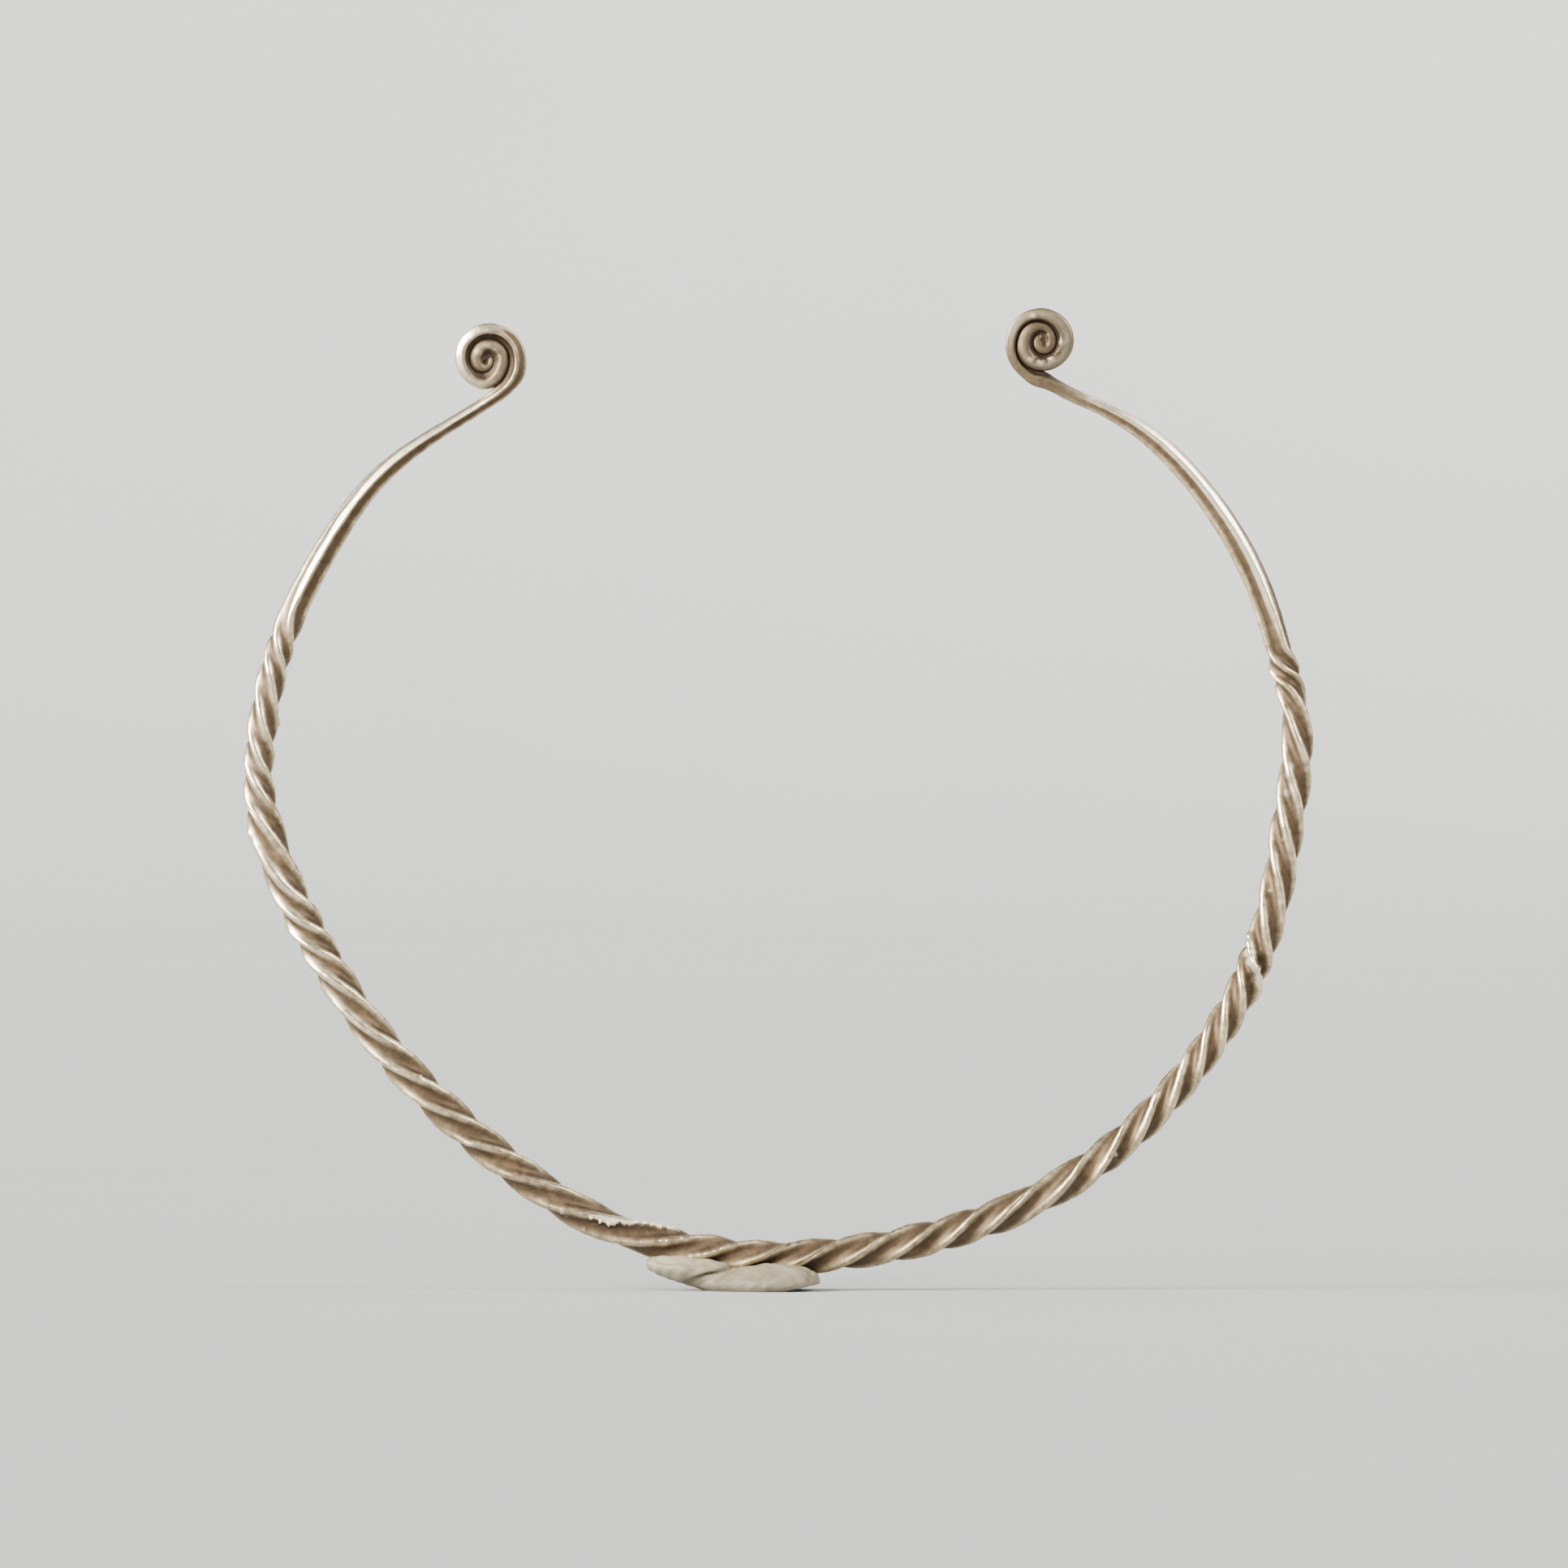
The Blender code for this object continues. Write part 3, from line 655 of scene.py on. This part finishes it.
def make_bar():
    """The torc's bar: a sheet with one row of corners per ring, rolled up and welded."""
    places = ring_places()
    angles = side_angles()
    mesh = bmesh.new()
    bmesh.ops.create_grid(mesh, x_segments=len(places) - 1, y_segments=len(angles) - 1, size=1.0)
    flat = np.array([v.co for v in mesh.verts])
    ring = np.rint((flat[:, 0] + 1.0) / 2.0 * (len(places) - 1)).astype(int)
    side = np.rint((flat[:, 1] + 1.0) / 2.0 * (len(angles) - 1)).astype(int)
    wrapped = side % (len(angles) - 1)
    skin, finish, straight = bar_skin(places[ring], angles[wrapped])
    layers = {name: mesh.verts.layers.float.new(name) for name in finish}
    straight_layer = mesh.verts.layers.float_vector.new("straight")
    for i, corner in enumerate(mesh.verts):
        corner.co = skin[i] * MM
        for name, layer in layers.items():
            corner[layer] = finish[name][i]
        corner[straight_layer] = straight[i]
    seam = [v for v, s in zip(mesh.verts, side) if s in (0, len(angles) - 1)]
    bmesh.ops.remove_doubles(mesh, verts=seam, dist=WELD_DISTANCE)
    open_edges = [e for e in mesh.edges if e.is_boundary]
    bmesh.ops.holes_fill(mesh, edges=open_edges, sides=0)
    add_eye_plug(mesh, layers, LEFT_EYE, LEFT_PLUG)
    add_eye_plug(mesh, layers, RIGHT_EYE, RIGHT_PLUG)
    bmesh.ops.recalc_face_normals(mesh, faces=mesh.faces[:])
    return finished_piece("torc_bar", mesh)


def finished_piece(name, mesh):
    """Turn a bmesh into an object at the origin, shaded smooth, in the scene."""
    data = bpy.data.meshes.new(name)
    mesh.to_mesh(data)
    mesh.free()
    data.shade_smooth()
    piece = bpy.data.objects.new(name, data)
    bpy.context.scene.collection.objects.link(piece)
    return piece


# ------------------------------------------------------------------ the putty

# (x, z of the middle, half length, half depth, half height, lean in degrees, share of a pointed
# left end) of each lobe
PUTTY_LOBES = (
    (-3.6, 1.0, 9.5, 9.4, 2.95, 0.0, 1.0),
    (-12.0, 2.95, 6.7, 4.2, 2.15, 8.4, 0.0),
)
POINT_REACH = 0.2
BLUNT_END_LIMIT = 0.999
PUTTY_VOXEL = 0.2
PUTTY_SMOOTHING = 2
# Soft folds and finger marks as (x1, z1, x2, z2, depth, width), on the front and the back, and
# the distance from the middle where they are full.
PUTTY_FOLDS = (
    (-13.6, 0.9, -6.6, 3.45, 0.95, 0.28), (-17.0, 4.35, -11.6, 4.15, 0.60, 0.60),
    (4.6, 2.7, 4.4, 1.2, 0.30, 0.35), (-2.0, 1.2, 4.2, 1.3, 0.12, 0.60),
    (-12.5, 2.9, -7.6, 4.0, 0.12, 0.70), (-4.5, 2.6, 1.5, 2.9, 0.10, 0.60),
)
FOLD_SIDE = 2.0
LARGE_SWELL = 0.13
SMALL_SWELL = 0.08
# The right end lifts off the floor from this x, by this much for each mm.
RIM_START = 0.5
RIM_SLOPE = 0.2
# The putty is kept this share of the bar's radius away from its middle.
BAR_HOLD = 0.86
COURSE_STRIDE = 12


def shape_lobe(ball, lobe):
    """Draw a ball out into a lobe: blunt to the right, pointed to the left where asked."""
    x, z, half_length, half_depth, half_height, lean, point = lobe
    for corner in ball:
        ux = corner.co.x
        slim = math.sqrt(max(0.0, 1.0 + ux) / (1.0 + POINT_REACH)) if ux < POINT_REACH else 1.0
        slim = 1.0 - point * (1.0 - slim)
        if 0.0 < ux < BLUNT_END_LIMIT:
            slim *= (1.0 - ux ** 3) ** (1.0 / 3.0) / math.sqrt(1.0 - ux ** 2)
        corner.co = Vector((
            ux * half_length, corner.co.y * half_depth * slim, corner.co.z * half_height * slim,
        ))
    turn = Matrix.Rotation(math.radians(lean), 3, "Y")
    for corner in ball:
        corner.co = turn @ corner.co + Vector((x, 0.0, z))


def make_putty():
    """Two kneaded lobes in one lump, pressed flat below and squeezed against the bar."""
    mesh = bmesh.new()
    for lobe in PUTTY_LOBES:
        ball = bmesh.ops.create_icosphere(mesh, subdivisions=6, radius=1.0)["verts"]
        shape_lobe(ball, lobe)
    lump = finished_piece("putty_lump", mesh)
    remesh = lump.modifiers.new("one skin", "REMESH")
    remesh.mode = "VOXEL"
    remesh.voxel_size = PUTTY_VOXEL
    evaluated = lump.evaluated_get(bpy.context.evaluated_depsgraph_get())
    skin = bmesh.new()
    skin.from_mesh(bpy.data.meshes.new_from_object(evaluated))
    bpy.data.objects.remove(lump, do_unlink=True)
    for _ in range(PUTTY_SMOOTHING):
        bmesh.ops.smooth_vert(skin, verts=skin.verts, factor=0.5,
                              use_axis_x=True, use_axis_y=True, use_axis_z=True)
    skin.normal_update()
    press_putty(skin)
    bmesh.ops.scale(skin, vec=(MM, MM, MM), verts=skin.verts)
    bmesh.ops.recalc_face_normals(skin, faces=skin.faces[:])
    return finished_piece("putty_lump", skin)


def fold_depth(x, z):
    """Depth of the folds and finger marks at a place in the front view."""
    depth = 0.0
    for x1, z1, x2, z2, deep, wide in PUTTY_FOLDS:
        dx = x2 - x1
        dz = z2 - z1
        t = min(1.0, max(0.0, ((x - x1) * dx + (z - z1) * dz) / (dx * dx + dz * dz)))
        gap = math.hypot(x - x1 - t * dx, z - z1 - t * dz)
        deeper_midway = 0.4 + 0.6 * math.sin(math.pi * (0.1 + 0.8 * t))
        depth += deep * math.exp(-(gap / wide) ** 2) * deeper_midway
    return depth


def knead(x, y, z):
    """Slow swells left by kneading."""
    large = math.sin(0.9 * x + 0.5 * y) * math.sin(0.7 * y + 1.3)
    small = math.sin(2.3 * x - 1.1 * z + 0.8) * math.sin(1.9 * y + 2.1 * z)
    return LARGE_SWELL * large + SMALL_SWELL * small


def press_putty(skin):
    """Fold and knead the lump, then press it against the bar above and the floor below."""
    for corner in skin.verts:
        x, y, z = corner.co
        above = min(1.0, max(0.0, z))
        fold = fold_depth(x, z) * min(1.0, abs(y) / FOLD_SIDE)
        corner.co += corner.normal * above * (knead(x, y, z) - fold)
    spots = np.array([v.co for v in skin.verts])
    course = COURSE[::COURSE_STRIDE]
    gap = np.linalg.norm(spots[:, None, [0, 2]] - course[None, :, :], axis=2)
    nearest = ALONG[::COURSE_STRIDE][np.argmin(gap, axis=1)]
    for corner, place in zip(skin.verts, nearest):
        middle = Vector((on_course(COURSE[:, 0], place), 0.0, on_course(COURSE[:, 1], place)))
        head = Vector((on_course(HEADING[:, 0], place), 0.0, on_course(HEADING[:, 1], place)))
        away = corner.co - middle
        away -= away.dot(head) * head
        hold = BAR_HOLD * float(on_course(RADIUS, place))
        if away.length < hold:
            corner.co += away.normalized() * (hold - away.length)
        corner.co.z = max(corner.co.z, RIM_SLOPE * (corner.co.x - RIM_START), 0.0)


# ------------------------------------------------------------------ shader sums


class Value:
    """A shader socket that can be used in sums."""

    def __init__(self, shader, output):
        self.shader = shader
        self.output = output

    def __add__(self, other):
        return self.shader.math("ADD", self, other)

    __radd__ = __add__

    def __sub__(self, other):
        return self.shader.math("SUBTRACT", self, other)

    def __rsub__(self, other):
        return self.shader.math("SUBTRACT", other, self)

    def __mul__(self, other):
        return self.shader.math("MULTIPLY", self, other)

    __rmul__ = __mul__


class Shader:
    """One material: its nodes, and its Principled shader."""

    def __init__(self, name):
        self.material = bpy.data.materials.new(name)
        self.material.use_nodes = True
        self.tree = self.material.node_tree
        self.surface = self.tree.nodes["Principled BSDF"]

    def node(self, kind, settings=None, values=None):
        """Add a node: its settings are set first, then the values or links of its sockets."""
        made = self.tree.nodes.new(kind)
        for name, value in (settings or {}).items():
            setattr(made, name, value)
        for name, value in (values or {}).items():
            self.feed(made.inputs[name], value)
        return made

    def feed(self, socket, value):
        if isinstance(value, Value):
            self.tree.links.new(value.output, socket)
        elif isinstance(value, tuple) and len(value) == 3 and socket.type == "RGBA":
            socket.default_value = (*value, 1.0)
        else:
            socket.default_value = value

    def math(self, operation, first, second, clamp=False):
        settings = {"operation": operation, "use_clamp": clamp}
        return Value(self, self.node("ShaderNodeMath", settings, {0: first, 1: second}).outputs[0])

    def clamped(self, value):
        return self.math("ADD", value, 0.0, clamp=True)

    def step(self, value, low, high):
        """0 below low, 1 above high, and smooth between."""
        settings = {"interpolation_type": "SMOOTHSTEP"}
        values = {"Value": value, "From Min": low, "From Max": high}
        return Value(self, self.node("ShaderNodeMapRange", settings, values).outputs["Result"])

    def blend(self, factor, low, high):
        """A colour between two colours."""
        settings = {"data_type": "RGBA", "clamp_factor": True}
        values = {"Factor": factor, 6: low, 7: high}
        return Value(self, self.node("ShaderNodeMix", settings, values).outputs[2])

    def number(self, name):
        settings = {"attribute_name": name}
        return Value(self, self.node("ShaderNodeAttribute", settings).outputs["Fac"])

    def vector(self, name):
        settings = {"attribute_name": name}
        return Value(self, self.node("ShaderNodeAttribute", settings).outputs["Vector"])

    def place(self):
        return Value(self, self.node("ShaderNodeTexCoord").outputs["Object"])

    def height(self):
        """Height above the floor in metres."""
        made = self.node("ShaderNodeSeparateXYZ", {}, {"Vector": self.place()})
        return Value(self, made.outputs["Z"])

    def stretched(self, vector, scale):
        settings = {"operation": "MULTIPLY"}
        made = self.node("ShaderNodeVectorMath", settings, {0: vector, 1: scale})
        return Value(self, made.outputs["Vector"])

    def noise(self, vector, scale, detail, roughness=0.55):
        values = {"Vector": vector, "Scale": scale, "Detail": detail, "Roughness": roughness}
        return Value(self, self.node("ShaderNodeTexNoise", {}, values).outputs["Fac"])

    def bump(self, height, distance, below=None):
        values = {"Height": height, "Distance": distance, "Strength": 1.0}
        if below is not None:
            values["Normal"] = below
        return Value(self, self.node("ShaderNodeBump", {}, values).outputs["Normal"])

    def finish(self, **values):
        for name, value in values.items():
            self.feed(self.surface.inputs[name.replace("_", " ")], value)
        return self.material


# ------------------------------------------------------------------ materials

# Colours of the silver, from its patina to its brightest wear, and of its painted highlights and
# shade.
FLUTE_DARK = (0.070, 0.045, 0.024)
FLUTE_LIGHT = (0.116, 0.077, 0.042)
FLUTE_STAIN = (0.050, 0.031, 0.017)
RUST = (0.180, 0.103, 0.046)
VERDIGRIS = (0.115, 0.101, 0.045)
RIDGE_DULL = (0.38, 0.288, 0.160)
RIDGE_BRIGHT = (0.90, 0.745, 0.480)
RIDGE_FOOT_SHADE_COLOR = (0.052, 0.033, 0.019)
SHADE_AND_DIRT = (0.074, 0.051, 0.029)
COIL_LIGHT = (0.135, 0.097, 0.057)
COIL_DARK = (0.040, 0.026, 0.015)
SHEEN = (0.92, 0.820, 0.640)
GROOVE_SHADE = (0.048, 0.032, 0.019)
CLEFT_SHADE = (0.034, 0.020, 0.011)
BEAD = (0.90, 0.790, 0.590)
RECESS_SHADE = (0.035, 0.019, 0.010)


def old_silver():
    """Forged silver: worn bright on the ridges, brown patina in the flutes and coils, painted
    highlights where it faces the light, and painted shade in clefts, grooves, creases, dents and
    towards the foot.
    """
    s = Shader("old_silver")
    coil = s.number("coil")
    lump = s.number("lump")
    sheen_and_shade = s.number("sheen_and_shade")
    sheen = s.clamped(sheen_and_shade)
    place = s.place()
    straight = s.vector("straight")

    cloud = s.noise(place, 260.0, 3.0)
    mottle = s.noise(place, 900.0, 5.0, 0.62)
    streak = s.noise(s.stretched(straight, (1.3, 1.3, 0.20)), 1.0, 4.0)
    fine_streak = s.noise(s.stretched(straight, (4.0, 4.0, 0.5)), 1.0, 3.0, 0.6)
    grain = s.noise(place, 4200.0, 3.0, 0.6)
    blotch = mottle + (cloud - 0.5) * 0.8
    soft_blotch = mottle + (cloud - 0.5) * 0.6

    uneven = (mottle - 0.5) * 0.14 + (streak - 0.5) * 0.10 + (cloud - 0.5) * 0.34
    worn = s.step(s.number("ridge") + sheen_and_shade * 0.90 + uneven * (1.0 - sheen * 0.8), 0.05, 0.95)
    stain = s.step(blotch, 0.54, 0.80) * (1.0 - sheen_and_shade)
    rust = s.number("rust") * 0.30 + s.noise(place, 640.0, 5.0, 0.65)
    rust = s.step(rust, 0.58, 0.84) * (1.0 - worn)
    green = s.step(s.noise(place, 330.0, 2.0), 0.60, 0.74) * (1.0 - worn)

    flute = s.blend(s.step(streak * 0.3 + mottle * 0.7, 0.36, 0.64), FLUTE_DARK, FLUTE_LIGHT)
    flute = s.blend(stain * 0.25, flute, FLUTE_STAIN)
    flute = s.blend(rust * 0.60, flute, RUST)
    flute = s.blend(green * 0.35, flute, VERDIGRIS)
    ridge = s.blend(s.step(fine_streak * 0.5 + mottle * 0.5, 0.35, 0.62), RIDGE_DULL, RIDGE_BRIGHT)
    color = s.blend(worn, flute, ridge)
    # painted shade along the feet of the ridges
    color = s.blend(s.number("foot") * 0.14, color, RIDGE_FOOT_SHADE_COLOR)
    # painted shade towards the foot of the ring, and dirt in the right twist's flutes
    color = s.blend(s.number("shade_and_dirt") * 0.34, color, SHADE_AND_DIRT)
    brown = s.blend(s.step(soft_blotch, 0.30, 0.70), COIL_LIGHT, COIL_DARK)
    color = s.blend(coil * 0.80, color, brown)
    patchy = coil * 0.75 * s.step(mottle * 0.6 + cloud * 0.4, 0.68, 0.34)
    # painted highlight on the sides that face the light
    color = s.blend(sheen * 0.70 * (1.0 - patchy), color, SHEEN)
    # painted shade in the groove of the arms
    color = s.blend(s.step(sheen_and_shade, 0.0, -1.0) * 0.85, color, GROOVE_SHADE)
    # painted shade deep in the clefts between the turns of the coils
    color = s.blend(s.number("cleft") * 0.90, color, CLEFT_SHADE)
    color = s.blend(s.step(lump, 0.10, 0.9) * 0.75, color, BEAD)
    # painted shade in dents, in splits and under the torn shelf
    color = s.blend(s.step(lump, -0.08, -0.7) * 0.75, color, RECESS_SHADE)

    metal = 0.78 + worn * 0.18 - stain * 0.20 - rust * 0.20
    rough = 0.57 - worn * 0.24 + (grain - 0.5) * 0.16 + (mottle - 0.5) * 0.14
    coarse = s.bump(mottle * 0.9 + streak * 0.25, 0.00006)
    normal = s.bump(fine_streak * 0.35 + grain * 0.6, 0.00002, below=coarse)
    return s.finish(Base_Color=color, Metallic=s.clamped(metal),
                    Roughness=s.clamped(rough), Normal=normal)


# Colours of the putty.
PUTTY_DARK = (0.120, 0.101, 0.062)
PUTTY_LIGHT = (0.218, 0.190, 0.121)
PUTTY_TOP_HIGHLIGHT = (0.275, 0.243, 0.160)
PUTTY_FOOT_SHADE = (0.082, 0.067, 0.041)
PUTTY_DRAG = (0.125, 0.102, 0.064)
PUTTY_SPECK = (0.090, 0.069, 0.041)


def kneaded_putty():
    """Matt cream-white putty, slightly soiled, with finger-smoothed folds, a painted highlight on top
    and painted shade at its foot.
    """
    s = Shader("kneaded_putty")
    place = s.place()
    height = s.height()
    cloud = s.noise(place, 180.0, 3.0)
    drag = s.noise(s.stretched(place, (0.45, 1.0, 1.6)), 900.0, 4.0, 0.6)
    speck = s.noise(place, 2600.0, 3.0, 0.6)
    color = s.blend(s.step(cloud, 0.32, 0.66), PUTTY_DARK, PUTTY_LIGHT)
    # painted highlight on the top of the putty
    color = s.blend(s.step(height, 0.0022, 0.0046) * 0.6, color, PUTTY_TOP_HIGHLIGHT)
    # painted shade near the floor
    color = s.blend(s.step(height, 0.0026, 0.0001) * 0.6, color, PUTTY_FOOT_SHADE)
    color = s.blend(s.step(drag, 0.52, 0.72) * 0.45, color, PUTTY_DRAG)
    color = s.blend(s.step(speck, 0.66, 0.74) * 0.3, color, PUTTY_SPECK)
    rough = 0.62 + (drag - 0.5) * 0.2
    coarse = s.bump(drag, 0.00012)
    normal = s.bump(speck, 0.00002, below=coarse)
    return s.finish(Base_Color=color, Roughness=s.clamped(rough), Normal=normal)


def pale_studio():
    s = Shader("pale_studio")
    tone = s.noise(s.place(), 3.0, 2.0)
    return s.finish(Base_Color=s.blend(tone, FLOOR_DARK, FLOOR_LIGHT), Roughness=0.9)


# ------------------------------------------------------------------ studio

FLOOR_DARK = (0.320, 0.326, 0.332)
FLOOR_LIGHT = (0.345, 0.351, 0.357)
# The floor, and the sweep and wall round it, in metres.
FLOOR_RADIUS = 6.0
FLOOR_STEPS = 96
SWEEP_RADIUS = 1.2
SWEEP_HEIGHT = 1.4
SWEEP_STEPS = 12
FLOOR_WELD = 1e-5
# Each light as (name, the side it comes from, softness in degrees, strength, colour).
LIGHTS = (
    ("key", (-1.00, -0.62, 0.45), 44.0, 21.5, (1.0, 0.972, 0.920)),
    ("side", (0.95, -0.60, 0.75), 30.0, 4.2, (1.0, 0.99, 0.98)),
    ("back", (0.40, 0.90, 0.80), 40.0, 1.4, (0.98, 0.99, 1.0)),
)
AIR_COLOR = (1.0, 0.99, 0.975)
AIR_STRENGTH = 0.14
# The camera looks level from the front: its distance, and the view's width and centre, in metres.
CAMERA_DISTANCE = 2.5
VIEW_WIDTH = 0.2207
VIEW_CENTRE = (0.0008, 0.0713)
SENSOR_WIDTH = 36.0
NEAREST_SEEN = 0.05
FARTHEST_SEEN = 20.0


def make_floor():
    """A round pale floor that sweeps up into a low wall all round."""
    mesh = bmesh.new()
    profile = [mesh.verts.new((0.0, 0.0, 0.0)), mesh.verts.new((FLOOR_RADIUS, 0.0, 0.0))]
    for i in range(1, SWEEP_STEPS + 1):
        turn = math.radians(90.0 * i / SWEEP_STEPS)
        profile.append(mesh.verts.new((
            FLOOR_RADIUS + SWEEP_RADIUS * math.sin(turn), 0.0,
            SWEEP_RADIUS * (1.0 - math.cos(turn)),
        )))
    profile.append(mesh.verts.new((FLOOR_RADIUS + SWEEP_RADIUS, 0.0, SWEEP_HEIGHT)))
    edges = [mesh.edges.new(pair) for pair in zip(profile, profile[1:])]
    bmesh.ops.spin(mesh, geom=profile + edges, cent=(0.0, 0.0, 0.0), axis=(0.0, 0.0, 1.0),
                   angle=2.0 * math.pi, steps=FLOOR_STEPS, use_merge=True)
    bmesh.ops.remove_doubles(mesh, verts=mesh.verts, dist=FLOOR_WELD)
    bmesh.ops.recalc_face_normals(mesh, faces=mesh.faces[:])
    if mesh.faces[0].normal.z < 0.0:
        bmesh.ops.reverse_faces(mesh, faces=mesh.faces[:])
    floor = finished_piece("studio_floor", mesh)
    floor.data.materials.append(pale_studio())


def make_light(name, side, softness, strength, color):
    """Even light from one side, with soft-edged shadows."""
    light = bpy.data.lights.new(name, "SUN")
    light.angle = math.radians(softness)
    light.energy = strength
    light.color = color
    lamp = bpy.data.objects.new(name, light)
    lamp.location = side
    lamp.rotation_euler = Vector(side).to_track_quat("Z", "Y").to_euler()
    bpy.context.scene.collection.objects.link(lamp)


def make_studio():
    make_floor()
    for light in LIGHTS:
        make_light(*light)
    world = bpy.data.worlds.new("studio_air")
    world.use_nodes = True
    background = world.node_tree.nodes["Background"]
    background.inputs["Color"].default_value = (*AIR_COLOR, 1.0)
    background.inputs["Strength"].default_value = AIR_STRENGTH
    bpy.context.scene.world = world


def make_camera():
    data = bpy.data.cameras.new("camera")
    data.sensor_width = SENSOR_WIDTH
    data.lens = SENSOR_WIDTH * CAMERA_DISTANCE / VIEW_WIDTH
    data.clip_start = NEAREST_SEEN
    data.clip_end = FARTHEST_SEEN
    camera = bpy.data.objects.new("camera", data)
    camera.location = (VIEW_CENTRE[0], -CAMERA_DISTANCE, VIEW_CENTRE[1])
    camera.rotation_euler = (math.radians(90.0), 0.0, 0.0)
    bpy.context.scene.collection.objects.link(camera)
    bpy.context.scene.camera = camera


# ------------------------------------------------------------------ the scene

make_camera()
make_studio()

bar = make_bar()
bar.data.materials.append(old_silver())
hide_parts("silver_torc")
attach(bar, "root")

putty = make_putty()
putty.data.materials.append(kneaded_putty())
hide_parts("putty_rest")
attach(putty, "root")
